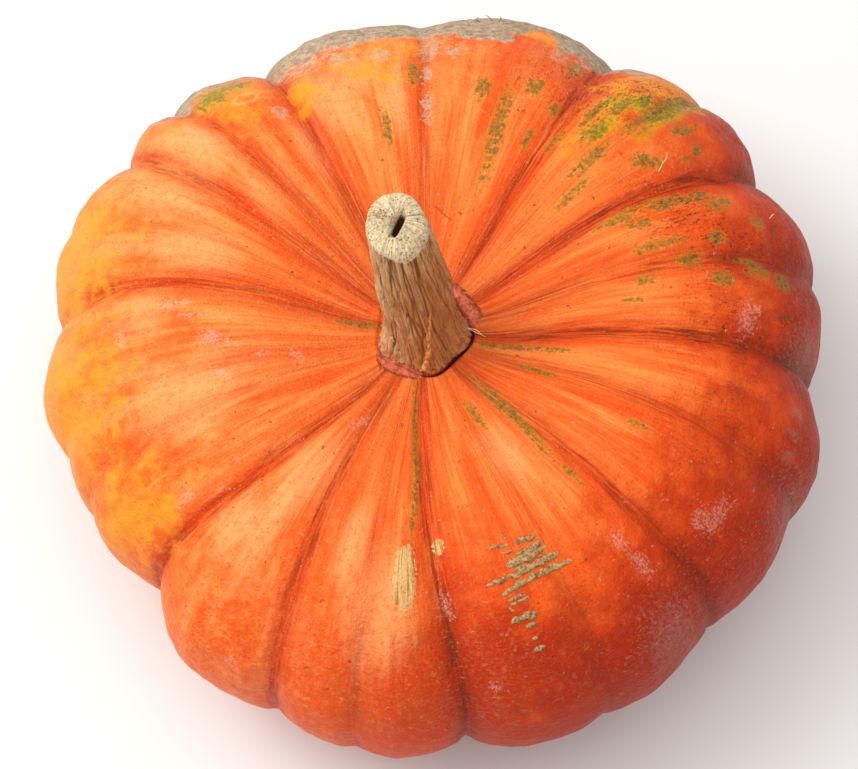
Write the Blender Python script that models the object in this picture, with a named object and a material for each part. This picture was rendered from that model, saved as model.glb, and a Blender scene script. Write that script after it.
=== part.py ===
"""Ribbed, flattened orange pumpkin with its dried stalk, standing on the flat of its underside.

Metres, +Z up. The origin is on the floor, under the middle of the outline. Azimuths are in degrees,
counter-clockwise from +X as seen from above, and latitudes in degrees above the widest ring.
"""

import collections
import math

import bpy
import numpy as np

# The fruit is a squashed ball, sunken round the stalk and round the blossom end
HALF_HEIGHT = 0.090
MEAN_REACH = 0.168
REACH_POWER = 0.86
HEIGHT_POWER = 0.90
STALK_HOLLOW = 0.043
STALK_HOLLOW_WIDTH = 0.075
BLOSSOM_HOLLOW = 0.016
BLOSSOM_HOLLOW_WIDTH = 0.055

# Height of the widest ring over the floor. What would reach below the floor is the flat resting spot
RING_HEIGHT = 0.080
# The stalk's axis, from the middle of the outline
AXIS_X = -0.005
AXIS_Y = -0.002

# The flat seat under the stalk's foot, over the widest ring
SEAT = 0.051
SEAT_REACH = 0.2
# The outline is round at the poles, and its ribs have their own reaches from this part of the reach on
ROUND_REACH = 0.6
# Part of a furrow's depth that is left at the poles, and how fast it falls off from the widest ring
POLE_DEPTH = 0.10
DEPTH_FALL = 1.4
# Rounding of a furrow's bottom, as a part of its half width
FURROW_ROUND = 0.06

# A furrow starts at its azimuth on the widest ring and turns by its drift on the way to the stalk.
# The rib that follows it counter-clockwise stands out to the rib's reach.
Furrow = collections.namedtuple("Furrow", "azimuth drift depth half_width rib_reach")
FURROWS = (
    Furrow(12.5, 0.0, 0.0050, 8.0, 0.1840),
    Furrow(29.5, 3.5, 0.0105, 12.0, 0.1860),
    Furrow(44.5, 1.5, 0.0030, 7.0, 0.1850),
    Furrow(59.0, -3.0, 0.0110, 15.0, 0.1780),
    Furrow(90.0, 0.0, 0.0065, 15.0, 0.1715),
    Furrow(117.5, 2.5, 0.0120, 14.0, 0.1730),
    Furrow(133.5, 1.0, 0.0055, 7.0, 0.1770),
    Furrow(144.5, 2.5, 0.0110, 13.0, 0.1750),
    Furrow(158.5, 0.0, 0.0020, 7.0, 0.1730),
    Furrow(173.0, -5.0, 0.0115, 14.0, 0.1690),
    Furrow(193.5, 2.0, 0.0025, 7.0, 0.1610),
    Furrow(203.0, 4.0, 0.0030, 7.0, 0.1580),
    Furrow(220.5, 13.0, 0.0125, 14.0, 0.1655),
    Furrow(247.0, -4.0, 0.0065, 12.0, 0.1690),
    Furrow(260.0, -2.0, 0.0030, 7.0, 0.1710),
    Furrow(276.5, -11.0, 0.0100, 12.0, 0.1715),
    Furrow(297.5, -7.0, 0.0030, 8.0, 0.1725),
    Furrow(317.0, -7.0, 0.0075, 15.0, 0.1730),
    Furrow(337.5, -2.0, 0.0040, 9.0, 0.1785),
    Furrow(357.5, -5.0, 0.0120, 15.0, 0.1810),
)
FRUIT_SEGMENTS = 120
FRUIT_RINGS = 34

# The stalk leans to -X. Its shaft has five blunt corners and widens into a foot
GAP = 0.0003
STALK_LENGTH = 0.096
STALK_LEAN = 0.106
SHAFT_RADIUS = 0.0148
CORNERS = 5
CORNER_AZIMUTH = 208.0
CORNER_SWELL = 0.055
RIDGES = 13
RIDGE_SWELL = 0.022
FOOT_FLARE = 0.0045
FOOT_HEIGHT = 0.010

# Its corky cut end slopes down to -Y and is bevelled on the side of +X
CUT_SLOPE = 0.30
CUT_ROUND = 0.0045
BEVEL_AZIMUTH = 15.0
BEVEL_DEPTH = 0.0042
BEVEL_HEIGHT = 0.034
# The slit left by the dry pith, in the cut end
SLIT_X = 0.0006
SLIT_Y = 0.0020
SLIT_AZIMUTH = 66.0
SLIT_HALF_LENGTH = 0.0050
SLIT_HALF_WIDTH = 0.0018
SLIT_DEPTH = 0.0050
STALK_SEGMENTS = 40
STALK_RINGS = 24
# Where the underside ends and the cut end starts, on the way up the stalk's surface
FOOT_EDGE = 0.125
CUT_EDGE = 0.79


def wrapped(angle):
    """The angle between -180 and 180 degrees."""
    return (angle + 180.0) % 360.0 - 180.0


def eased(t):
    """Rises from 0 to 1 and is level at both ends."""
    t = min(max(t, 0.0), 1.0)
    return t * t * (3.0 - 2.0 * t)


def around(azimuth, stations):
    """Eased value between (azimuth, value) stations that go once round the fruit in order."""
    azimuth = azimuth % 360.0
    first = stations[0]
    last = stations[-1]
    loop = [(last[0] - 360.0, last[1]), *stations, (first[0] + 360.0, first[1])]
    for (start, near), (end, far) in zip(loop, loop[1:]):
        if start <= azimuth < end:
            return near + (far - near) * eased((azimuth - start) / (end - start))
    return last[1]


def rib_stations():
    """Each rib's middle azimuth with its reach."""
    following = FURROWS[1:] + (FURROWS[0]._replace(azimuth=FURROWS[0].azimuth + 360.0),)
    middles = [
        ((furrow.azimuth + after.azimuth) / 2 % 360.0, furrow.rib_reach)
        for furrow, after in zip(FURROWS, following)
    ]
    return sorted(middles)


RIBS = rib_stations()
DRIFTS = [(furrow.azimuth, furrow.drift) for furrow in FURROWS]


def furrow_depth(azimuth):
    """Depth of the furrows on the widest ring."""
    depth = 0.0
    for furrow in FURROWS:
        off = wrapped(azimuth - furrow.azimuth) / furrow.half_width
        depth += furrow.depth * max(1.0 - math.hypot(off, FURROW_ROUND), 0.0) ** 2
    return depth


def fruit_point(azimuth, latitude):
    """A point of the skin, from the middle of the fruit's axis at the height of its widest ring."""
    cosine = math.cos(math.radians(latitude))
    sine = math.sin(math.radians(latitude))
    side = math.copysign(1.0, sine)
    spread = abs(cosine) ** REACH_POWER
    rib = around(azimuth, RIBS) - MEAN_REACH
    reach = spread * (MEAN_REACH + rib * eased(spread / ROUND_REACH))
    height = side * abs(sine) ** HEIGHT_POWER * HALF_HEIGHT
    if side > 0:
        height -= STALK_HOLLOW * math.exp(-((reach / STALK_HOLLOW_WIDTH) ** 2))
    else:
        height += BLOSSOM_HOLLOW * math.exp(-((reach / BLOSSOM_HOLLOW_WIDTH) ** 2))

    out = abs(cosine) ** (2.0 - REACH_POWER) / MEAN_REACH
    up = side * abs(sine) ** (2.0 - HEIGHT_POWER) / HALF_HEIGHT
    depth = furrow_depth(azimuth) * (POLE_DEPTH + (1.0 - POLE_DEPTH) * spread**DEPTH_FALL)
    reach -= depth * out / math.hypot(out, up)
    height -= depth * up / math.hypot(out, up)

    if side > 0 and spread < SEAT_REACH:
        height = max(height, SEAT)
    height = max(height, -RING_HEIGHT)
    turn = around(azimuth, DRIFTS) * (1.0 - spread) if side > 0 else 0.0
    bearing = math.radians(azimuth + turn)
    return reach * math.cos(bearing), reach * math.sin(bearing), height


def shaft_radius(azimuth, height):
    """The stalk's radius at a height over its foot, before the bevel of the cut end."""
    corner = math.cos(math.radians(CORNERS * (azimuth - CORNER_AZIMUTH)))
    ridge = math.cos(math.radians(RIDGES * azimuth))
    flare = FOOT_FLARE * math.exp(-height / FOOT_HEIGHT)
    return SHAFT_RADIUS * (1.0 + CORNER_SWELL * corner + RIDGE_SWELL * ridge) + flare


def slit_depth(x, y):
    """Depth of the pith's slit at a place on the cut end."""
    turn = math.radians(SLIT_AZIMUTH)
    along = (x - SLIT_X) * math.cos(turn) + (y - SLIT_Y) * math.sin(turn)
    across = (y - SLIT_Y) * math.cos(turn) - (x - SLIT_X) * math.sin(turn)
    off = (along / SLIT_HALF_LENGTH) ** 2 + (across / SLIT_HALF_WIDTH) ** 2
    return SLIT_DEPTH * math.exp(-off)


def stalk_point(azimuth, way):
    """A point of the stalk, from its foot's middle. way goes 0 to 1 up its surface, pole to pole."""
    side_way = min(max((way - FOOT_EDGE) / (CUT_EDGE - FOOT_EDGE), 0.0), 1.0)
    cut_way = max((way - CUT_EDGE) / (1.0 - CUT_EDGE), 0.0)
    height = side_way * (STALK_LENGTH - CUT_ROUND)
    radius = shaft_radius(azimuth, height)
    facing = max(math.cos(math.radians(azimuth - BEVEL_AZIMUTH)), 0.0) ** 2
    bevel_way = (height - STALK_LENGTH + BEVEL_HEIGHT) / BEVEL_HEIGHT
    radius -= BEVEL_DEPTH * facing * eased(bevel_way)
    radius *= min(way / FOOT_EDGE, 1.0)
    radius *= math.cos(math.radians(90.0 * cut_way)) ** 0.8
    height += CUT_ROUND * math.sin(math.radians(90.0 * cut_way)) ** 0.6

    x = radius * math.cos(math.radians(azimuth))
    y = radius * math.sin(math.radians(azimuth))
    height += CUT_SLOPE * y * eased(side_way)
    if cut_way > 0.0:
        height -= slit_depth(x, y)
    return x - STALK_LEAN * height, y, height


def meridian_azimuths(count):
    """Azimuths of the fruit's meridians. Each furrow has its nearest one, the rest are spread between."""
    numbers = [round(furrow.azimuth / 360.0 * count) for furrow in FURROWS]
    azimuths = [furrow.azimuth for furrow in FURROWS]
    numbers = [numbers[-1] - count, *numbers, numbers[0] + count]
    azimuths = [azimuths[-1] - 360.0, *azimuths, azimuths[0] + 360.0]
    return np.interp(range(count), numbers, azimuths)


def surface_material(name, colour, roughness):
    """A plain material for one sub-part."""
    material = bpy.data.materials.new(name)
    material.use_nodes = True
    shader = material.node_tree.nodes["Principled BSDF"]
    shader.inputs["Base Color"].default_value = (*colour, 1.0)
    shader.inputs["Roughness"].default_value = roughness
    material.diffuse_color = (*colour, 1.0)
    return material


def skin_material():
    """Waxy orange skin."""
    return surface_material("orange_skin", (0.80, 0.16, 0.02), 0.42)


def cork_material():
    """Dry, fibrous stalk."""
    return surface_material("dry_cork", (0.38, 0.23, 0.11), 0.85)


def add_ball(name, segments, rings, collection):
    """A ball of radius 1 in the collection, with its poles on the Z axis."""
    bpy.ops.mesh.primitive_uv_sphere_add(segments=segments, ring_count=rings, radius=1.0)
    ball = bpy.context.active_object
    ball.name = name
    ball.data.name = name
    for owner in list(ball.users_collection):
        owner.objects.unlink(ball)
    collection.objects.link(ball)
    return ball


def ball_angles(point):
    """Azimuth from 0 to 360 and latitude of a point of the ball, in degrees."""
    azimuth = math.degrees(math.atan2(point.y, point.x)) % 360.0
    latitude = math.degrees(math.atan2(point.z, math.hypot(point.x, point.y)))
    return azimuth, latitude


def add_fruit(collection):
    """The fruit, one solid from a ball whose meridians follow the furrows."""
    fruit = add_ball("fruit", FRUIT_SEGMENTS, FRUIT_RINGS, collection)
    meridians = meridian_azimuths(FRUIT_SEGMENTS)
    for vertex in fruit.data.vertices:
        azimuth, latitude = ball_angles(vertex.co)
        number = round(azimuth / 360.0 * FRUIT_SEGMENTS) % FRUIT_SEGMENTS
        vertex.co = fruit_point(meridians[number], latitude)
    fruit.location = (AXIS_X, AXIS_Y, RING_HEIGHT)
    fruit.data.materials.append(skin_material())
    fruit.data.shade_smooth()
    return fruit


def add_stalk(fruit, collection):
    """The dried stalk on the fruit's seat."""
    stalk = add_ball("stem", STALK_SEGMENTS, STALK_RINGS, collection)
    for vertex in stalk.data.vertices:
        azimuth, latitude = ball_angles(vertex.co)
        vertex.co = stalk_point(azimuth, latitude / 180.0 + 0.5)
    stalk.parent = fruit
    stalk.location = (0.0, 0.0, SEAT + GAP)
    stalk.data.materials.append(cork_material())
    stalk.data.shade_smooth()
    return stalk


def main():
    for old in list(bpy.data.objects):
        bpy.data.objects.remove(old, do_unlink=True)
    collection = bpy.data.collections.new("pumpkin")
    bpy.context.scene.collection.children.link(collection)
    fruit = add_fruit(collection)
    add_stalk(fruit, collection)


main()
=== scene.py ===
"""Looks of the pumpkin: its fine skin and stalk, with a pale floor, soft studio light and the camera.

Metres, +Z up. Azimuths are in degrees, counter-clockwise from +X as seen from above, and latitudes
in degrees above the fruit's widest ring. The forms follow the solids within a few millimetres: some
furrows are shallower here, each has a narrow crease in its middle, and the stalk's head is finer.
"""

import collections
import math

import bpy
import numpy as np
from mathutils import Matrix, Vector, noise
from mathutils.bvhtree import BVHTree


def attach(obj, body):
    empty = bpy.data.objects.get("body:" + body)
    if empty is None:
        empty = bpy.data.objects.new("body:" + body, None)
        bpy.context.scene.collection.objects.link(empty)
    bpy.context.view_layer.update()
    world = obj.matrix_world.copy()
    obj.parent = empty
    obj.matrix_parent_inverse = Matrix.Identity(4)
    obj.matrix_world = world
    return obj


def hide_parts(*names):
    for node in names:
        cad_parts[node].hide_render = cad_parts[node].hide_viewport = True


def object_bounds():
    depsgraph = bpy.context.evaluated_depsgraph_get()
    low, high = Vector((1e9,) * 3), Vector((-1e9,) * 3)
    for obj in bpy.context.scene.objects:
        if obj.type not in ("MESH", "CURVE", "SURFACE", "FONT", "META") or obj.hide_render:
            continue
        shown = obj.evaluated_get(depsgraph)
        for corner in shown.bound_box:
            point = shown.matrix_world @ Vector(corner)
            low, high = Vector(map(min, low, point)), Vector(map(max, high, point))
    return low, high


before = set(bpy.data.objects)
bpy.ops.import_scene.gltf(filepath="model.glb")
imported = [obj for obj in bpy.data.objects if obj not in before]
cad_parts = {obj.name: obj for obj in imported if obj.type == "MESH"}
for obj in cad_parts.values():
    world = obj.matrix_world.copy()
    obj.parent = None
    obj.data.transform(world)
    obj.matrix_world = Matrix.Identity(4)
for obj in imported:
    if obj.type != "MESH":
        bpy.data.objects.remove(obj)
CAD_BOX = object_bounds()


def table(kind, *rows):
    """Rows of numbers as one kind of named tuple."""
    return [kind(*row) for row in rows]


# The fruit is a squashed ball, sunken round the stalk and round the blossom end
HALF_HEIGHT = 0.090
MEAN_REACH = 0.168
REACH_POWER = 0.86
HEIGHT_POWER = 0.90
STALK_HOLLOW = 0.043
STALK_HOLLOW_WIDTH = 0.075
BLOSSOM_HOLLOW = 0.016
BLOSSOM_HOLLOW_WIDTH = 0.055
RING_HEIGHT = 0.080
AXIS_X = -0.005
AXIS_Y = -0.002
SEAT = 0.051
SEAT_REACH = 0.35
SEAT_SOFTNESS = 0.0016
SEAT_SOFT_FROM = 0.021
SEAT_SOFT_OVER = 0.008
ROUND_REACH = 0.6
POLE_DEPTH = 0.10
DEPTH_FALL = 1.4
FURROW_ROUND = 0.06
# The narrow crease in each furrow: half width in degrees, and its share of the depth
CREASE_WIDTH = 1.0
CREASE_SHARE = 0.15

Furrow = collections.namedtuple("Furrow", "azimuth drift depth half_width rib_reach")
FURROWS = table(
    Furrow,
    (12.5, 0, 0.0050, 8, 0.1840), (29.5, 3.5, 0.0105, 12, 0.1860), (44.5, 1.5, 0.0030, 7, 0.1850),
    (59, -3, 0.0102, 15, 0.1795), (90, 0, 0.0050, 15, 0.1735), (117.5, 2.5, 0.0110, 14, 0.1730),
    (133.5, 1, 0.0055, 7, 0.1770), (144.5, 2.5, 0.0096, 13, 0.1750), (158.5, 0, 0.0020, 7, 0.1730),
    (173, -5, 0.0102, 14, 0.1690), (193.5, 2, 0.0025, 7, 0.1610), (203, 4, 0.0030, 7, 0.1580),
    (220.5, 13, 0.0125, 14, 0.1655), (247, -4, 0.0065, 12, 0.1690), (260, -2, 0.0030, 7, 0.1710),
    (276.5, -11, 0.0100, 12, 0.1715), (297.5, -7, 0.0030, 8, 0.1725), (317, -7, 0.0064, 15, 0.1730),
    (337.5, -2, 0.0040, 9, 0.1785), (357.5, -5, 0.0120, 15, 0.1810),
)

# The fine skin's rings and meridians
SKIN_MERIDIANS = 520
SKIN_RINGS = 188
SKIN_INSET = 0.0003
BOX_MARGIN = 0.0001
# Rings crowd at the stalk's foot and are sparse underneath and under the stalk
RING_SAMPLES = 4000
SAMPLE_AZIMUTH = 100.0
LOWEST_RING = -88.0
HIGHEST_RING = 89.0
UNDERSIDE_LATITUDE = -25.0
UNDERSIDE_DENSITY = 0.42
FOOT_REACH = 0.024
FOOT_HALF_WIDTH = 0.0065
FOOT_DENSITY = 4.0
HIDDEN_REACH = 0.017
HIDDEN_DENSITY = 0.3

# The dried stalk
GAP = 0.0003
STALK_LENGTH = 0.0965
STALK_LEAN = 0.098
STALK_LEAN_BACK = 0.032
SHAFT_RADIUS = 0.0148
HEAD_SHRINK = 0.0022
HEAD_SHIFT = 0.0012
CORNERS = 5
CORNER_AZIMUTH = 208.0
CORNER_SWELL = 0.055
FLARE_SWELL = 0.1
FOOT_FLARE = 0.0045
FOOT_HEIGHT = 0.010
CUT_SLOPE = 0.25
CUT_ROUND = 0.0065
BEVEL_AZIMUTH = 15.0
BEVEL_DEPTH = 0.0018
BEVEL_HEIGHT = 0.018
SLIT_X = 0.0004
SLIT_Y = -0.0014
SLIT_AZIMUTH = 62.0
SLIT_HALF_LENGTH = 0.0048
SLIT_HALF_WIDTH = 0.0015
SLIT_DEPTH = 0.0060
FOOT_EDGE = 0.11
CUT_EDGE = 0.80
SHADE_AZIMUTH = 330.0
STALK_MERIDIANS = 300
STALK_RINGS = 290
# Relief of the shaft and of the cut end, in metres
SHAFT_SWELL = 0.0004
BROAD_GROOVE = 0.0012
STRAND_GROOVE = 0.0009
FIBRE_GROOVE = 0.0005
DENT_DEPTH = 0.0009
CUT_LUMP = 0.0004
CUT_PIT = 0.0003
CUT_SINK = 0.0006
# The fibres wind round the shaft by these degrees, and sway by this share of their cells
FIBRE_TWIST = 12.0
FIBRE_SWAY = 0.10
# The cork of the cut end starts here on the way up the shaft, and is full this much higher
CORK_FROM = 0.955
CORK_OVER = 0.045

# Camera: the photo is seen from 66 degrees up, from 1.15 m, with 2250 pixels a metre at the fruit's middle
PHOTO_WIDTH = 858
VIEW_ELEVATION = 66.0
VIEW_DISTANCE = 1.15
PIXELS_PER_METRE = 2250.0
# The fruit's axis is this far left of the picture's middle, and this far above it, in pixels
AXIS_LEFT = 5.0
AXIS_ABOVE = 4.85
SENSOR_WIDTH = 36.0


def srgb(red, green, blue):
    """Linear colour of three 0 to 255 display values."""
    values = [value / 255.0 for value in (red, green, blue)]
    return tuple(v / 12.92 if v <= 0.04045 else ((v + 0.055) / 1.055) ** 2.4 for v in values)


# Marks on the skin, by the field they belong to. Half length runs along the rib, half width across it,
# and the mark is turned by its turn, in degrees counter-clockwise. Lengths are in millimetres.
Mark = collections.namedtuple("Mark", "azimuth latitude half_length half_width turn", defaults=(0.0,))
MARKS = {
    "olive": table(
        Mark,
        (44.5, 36, 28, 4.5), (48, 41, 6, 3.5), (50, 47, 9, 2.5), (53.5, 50, 12, 2), (49.5, 55, 8, 4),
        (44.5, 60, 11, 3.2), (40.5, 66.5, 10, 2.4), (39, 40, 8, 2.5), (37, 53.5, 4.5, 2.8),
        (35, 51, 4.5, 3.2), (34.5, 40, 2.6, 2.8), (33.5, 44, 2.6, 2), (26, 53, 14, 3.6, 8),
        (25.5, 46, 5, 2.4), (23, 43.5, 7, 3.6, -20), (26.5, 62, 10, 3.2), (23, 60, 6, 2),
        (17, 58.5, 10, 2.8), (19, 36, 3.6, 3), (16.5, 47, 4, 2.5), (13, 53.5, 6, 3), (9, 61.5, 4.6, 2.4),
        (8.3, 48, 4.6, 3.4), (10, 38.5, 6, 3), (12, 40, 6, 1.6), (9, 31, 5, 4.6), (5, 64, 5, 1.3),
        (62.5, 39.5, 6, 3.6), (67, 51, 5.5, 3.4), (71, 62, 24, 3.4, -3), (77, 55, 6.5, 3),
        (61.5, 54, 3.2, 2.4), (92.5, 50, 9, 2.2), (100, 61.5, 9, 2.2), (129.5, 33, 9, 6),
        (125, 31.5, 5, 8), (273.5, 71, 40, 1.3), (57, 60, 8, 1.6), (63, 62, 6, 1.8),
        (315, 73.5, 26, 2.2, 4), (302, 77, 9, 2.2), (178, 83, 9, 1.6), (335.5, 75, 10, 1.4),
        (331, 57, 5, 1.6), (313, 60, 7, 1.3), (348, 78, 20, 1.3),
    ),
    "gold": table(
        Mark,
        (70.5, 31, 9, 9), (51, 46, 28, 10), (52.5, 35, 20, 13), (49, 28, 18, 18), (127, 37, 18, 13),
        (100, 46, 16, 9), (96, 41, 9, 18), (106, 43, 8, 12), (115, 47, 12, 6), (190, 12, 40, 30),
        (165, 20, 30, 26), (212, 20, 30, 16),
    ),
    # Places where green shows among the gold, and the ring scar beside them
    "green": table(
        Mark,
        (129, 32, 10, 8), (124.5, 33, 6, 7), (43.5, 36.5, 24, 5, -4), (50.5, 45, 9, 6), (48, 41, 8, 5),
        (48.5, 54, 9, 4),
    ),
    "ring": table(
        Mark,
        (125.3, 41, 4.2, 5.6),
    ),
    # Soft pale patches
    "pale": table(
        Mark,
        (111, 52, 20, 11), (119.5, 58.5, 16, 6), (103, 47, 14, 12), (97, 56, 18, 7), (141, 44, 26, 12),
        (151, 46, 20, 12), (163.5, 58, 18, 9), (263, 43, 22, 13), (255.5, 54, 16, 6), (234, 61, 22, 9),
        (229, 46, 14, 12), (200, 50, 22, 14), (180, 48, 14, 12), (302, 69, 16, 5),
    ),
    # The bare tan patch and the small one beside it
    "tan": table(
        Mark,
        (268.4, 49.6, 14, 4.6, 3), (277.5, 55.5, 3.6, 2.6),
    ),
    "scuff": table(
        Mark,
        (187, 61, 4, 3), (189, 64, 3, 1.6), (195.5, 73.5, 3.6, 2.2, 60), (178.5, 54.5, 7, 1.8),
        (181.5, 58, 6, 1.4), (242, 74.5, 5, 1.6, 20), (216, 39, 5, 2), (240, 15, 3, 3), (1.5, 42.5, 4, 6),
        (3.5, 40.5, 2.6, 3), (325.5, 33, 4, 7), (323.5, 36, 3, 4), (310.5, 45, 4, 2.4),
        (281.5, 23.5, 3, 2.4), (197, 60, 4.6, 2, 40), (193, 68, 2.6, 1.4), (184.5, 43.5, 5, 1.6, 70),
        (277, 44, 6, 2.2), (311, 38, 6, 3),
    ),
    # Grey film
    "grey": table(
        Mark,
        (309.5, 14, 18, 12), (0, 16, 16, 10), (335, 8, 14, 14), (348.5, 24.5, 5, 2.2),
        (344.5, 25.5, 5, 1.8), (341, 24, 4, 2.6), (333.5, 16.5, 6, 2), (188, 61.5, 3, 2.6),
    ),
    # Dry grey wrinkles in and beside the back furrow
    "wrinkle": table(
        Mark,
        (121.4, 49, 5, 2.6), (89, 42, 8, 4), (89.3, 51, 5, 2.4), (89.3, 59, 8, 2), (106, 41, 5, 6),
        (98, 43, 4, 4), (84.5, 44, 4, 5), (112, 38, 6, 8),
    ),
}
# Grey crust beside the ground spot, and gold skin that shows through the spot
CRUST_MARKS = table(
    Mark,
    (132.5, 13, 24, 15), (125, 8, 34, 22), (79, 38, 4, 16),
)
GAP_MARKS = table(
    Mark,
    (70.6, 32, 17, 9), (96.5, 39, 5, 14),
)
# A gap starts at this value of its field, and takes this share of the crust away
GAP_EDGE = 0.35
GAP_STRENGTH = 0.8
# The side that is redder and darker, partly from ripening and partly painted shade away from the key light,
# and the side with the most dark specks
RIPE_AND_SHADED_AZIMUTH = 340.0
SPECKED_AZIMUTH = 22.0
# The dry ground spot on the back, in degrees. It is a rounded square with a soft edge
GROUND_AZIMUTH = 87.5
GROUND_LATITUDE = 3.0
GROUND_HALF_WIDTH = 34.0
GROUND_HALF_HEIGHT = 34.5
GROUND_SQUARENESS = 5
GROUND_SHARPNESS = 2.5

# Raised corky scars: middle, half length and half width in millimetres, turn from the rib's direction
Scar = collections.namedtuple("Scar", "azimuth latitude half_length half_width turn")
SCARS = table(
    Scar,
    (293.6, 46.1, 16.5, 1.5, 91), (294.2, 48.9, 11.5, 1.9, 90), (293.5, 50.8, 9.5, 2.2, 91),
    (294.8, 53.6, 4.6, 1.2, 88), (295, 52, 6.5, 1.1, 90), (286.8, 47.8, 5.6, 1, 94),
    (289.3, 53.8, 4.2, 0.7, 78), (290.4, 52.4, 2.2, 0.5, 82), (289, 43.8, 4, 0.8, 90),
    (289.2, 42.8, 4.2, 0.7, 88), (289, 39.6, 5.8, 1.5, 86), (289.5, 37.2, 2.4, 1.3, 82),
    (289.5, 31.6, 2.2, 1.6, 90), (289.4, 34.4, 1.2, 0.7, 90), (287.4, 41.6, 1.3, 0.6, 40),
    (290.9, 55.6, 1.6, 0.45, 20),
)


def wrapped(angle):
    """The angle between -180 and 180 degrees."""
    return (angle + 180.0) % 360.0 - 180.0


def eased(t):
    """Rises from 0 to 1 and is level at both ends."""
    t = np.clip(t, 0.0, 1.0)
    return t * t * (3.0 - 2.0 * t)


def around(azimuth, stations):
    """Eased values between (azimuth, value) stations that go once round the fruit in order."""
    places = np.array([station[0] for station in stations])
    values = np.array([station[1] for station in stations])
    places = np.concatenate([[places[-1] - 360.0], places, [places[0] + 360.0]])
    values = np.concatenate([[values[-1]], values, [values[0]]])
    azimuth = np.mod(azimuth, 360.0)
    k = np.clip(np.searchsorted(places, azimuth, side="right") - 1, 0, len(places) - 2)
    t = (azimuth - places[k]) / (places[k + 1] - places[k])
    return values[k] + (values[k + 1] - values[k]) * eased(t)


def rib_stations():
    """Each rib's middle azimuth with its reach."""
    azimuths = [furrow.azimuth for furrow in FURROWS]
    following = azimuths[1:] + [azimuths[0] + 360.0]
    return sorted(
        ((start + end) / 2 % 360.0, furrow.rib_reach)
        for start, end, furrow in zip(azimuths, following, FURROWS)
    )


RIBS = rib_stations()
DRIFTS = [(furrow.azimuth, furrow.drift) for furrow in FURROWS]


def furrow_depth(azimuth):
    """Depth of the furrows on the widest ring, with the narrow crease in the middle of each."""
    depth = np.zeros(azimuth.shape)
    for furrow in FURROWS:
        off = wrapped(azimuth - furrow.azimuth)
        wall = 1.0 - np.hypot(off / furrow.half_width, FURROW_ROUND)
        depth += furrow.depth * np.clip(wall, 0.0, None) ** 2
        depth += furrow.depth * CREASE_SHARE * np.exp(-((off / CREASE_WIDTH) ** 2))
    return depth


def spread_of(latitude):
    """How far out from the axis a latitude lies, from 0 at the poles to 1 on the widest ring."""
    return np.abs(np.cos(np.radians(latitude))) ** REACH_POWER


def fruit_surface(azimuth, latitude):
    """Points of the skin, without its fine relief."""
    cosine = np.abs(np.cos(np.radians(latitude)))
    sine = np.sin(np.radians(latitude))
    side = np.where(sine > 0.0, 1.0, -1.0)
    spread = spread_of(latitude)
    rib = around(azimuth, RIBS) - MEAN_REACH
    reach = spread * (MEAN_REACH + rib * eased(spread / ROUND_REACH))
    height = side * np.abs(sine) ** HEIGHT_POWER * HALF_HEIGHT
    stalk_hollow = STALK_HOLLOW * np.exp(-((reach / STALK_HOLLOW_WIDTH) ** 2))
    blossom_hollow = BLOSSOM_HOLLOW * np.exp(-((reach / BLOSSOM_HOLLOW_WIDTH) ** 2))
    height += np.where(sine > 0.0, -stalk_hollow, blossom_hollow)

    out = cosine ** (2.0 - REACH_POWER) / MEAN_REACH
    up = side * np.abs(sine) ** (2.0 - HEIGHT_POWER) / HALF_HEIGHT
    depth = furrow_depth(azimuth) * (POLE_DEPTH + (1.0 - POLE_DEPTH) * spread**DEPTH_FALL)
    reach -= depth * out / np.hypot(out, up)
    height -= depth * up / np.hypot(out, up)

    over = height - SEAT
    soft = SEAT_SOFTNESS * eased((reach - SEAT_SOFT_FROM) / SEAT_SOFT_OVER)
    on_seat = (sine > 0.0) & (spread < SEAT_REACH)
    height = np.where(on_seat, SEAT + 0.5 * (over + np.hypot(over, soft)), height)
    height = np.maximum(height, -RING_HEIGHT)
    turn = np.where(sine > 0.0, around(azimuth, DRIFTS) * (1.0 - spread), 0.0)
    bearing = np.radians(azimuth + turn)
    x = AXIS_X + reach * np.cos(bearing)
    y = AXIS_Y + reach * np.sin(bearing)
    return np.stack([x, y, RING_HEIGHT + height], -1)


def fractal(points, octaves=3):
    """Smooth noise from about -1 to 1 at each row of points, in noise cells."""
    flat = points.reshape(-1, 3)
    values = [noise.fractal(point, 1.0, 2.0, octaves) for point in flat.tolist()]
    return np.array(values).reshape(points.shape[:-1])


def meridian_azimuths(count):
    """Azimuths of the meridians. Each furrow has its nearest one, the rest are spread between."""
    azimuths = [furrow.azimuth for furrow in FURROWS]
    numbers = [round(azimuth / 360.0 * count) for azimuth in azimuths]
    numbers = [numbers[-1] - count, *numbers, numbers[0] + count]
    azimuths = [azimuths[-1] - 360.0, *azimuths, azimuths[0] + 360.0]
    return np.interp(range(count), numbers, azimuths)


def ring_latitudes(count):
    """Latitudes from pole to pole, close together at the stalk's foot and wide apart underneath."""
    fine = np.linspace(LOWEST_RING, HIGHEST_RING, RING_SAMPLES)
    points = fruit_surface(np.full_like(fine, SAMPLE_AZIMUTH), fine)
    steps = np.linalg.norm(np.diff(points, axis=0), axis=1)
    middle = (fine[1:] + fine[:-1]) / 2
    reach = spread_of(middle) * MEAN_REACH
    density = np.where(middle > UNDERSIDE_LATITUDE, 1.0, UNDERSIDE_DENSITY)
    at_foot = (middle > 0.0) & (np.abs(reach - FOOT_REACH) < FOOT_HALF_WIDTH)
    density = np.where(at_foot, FOOT_DENSITY, density)
    density = np.where((middle > 0.0) & (reach < HIDDEN_REACH), HIDDEN_DENSITY, density)
    way = np.concatenate([[0.0], np.cumsum(steps * density)])
    return np.interp(np.linspace(0.0, way[-1], count), way, fine)


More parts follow.
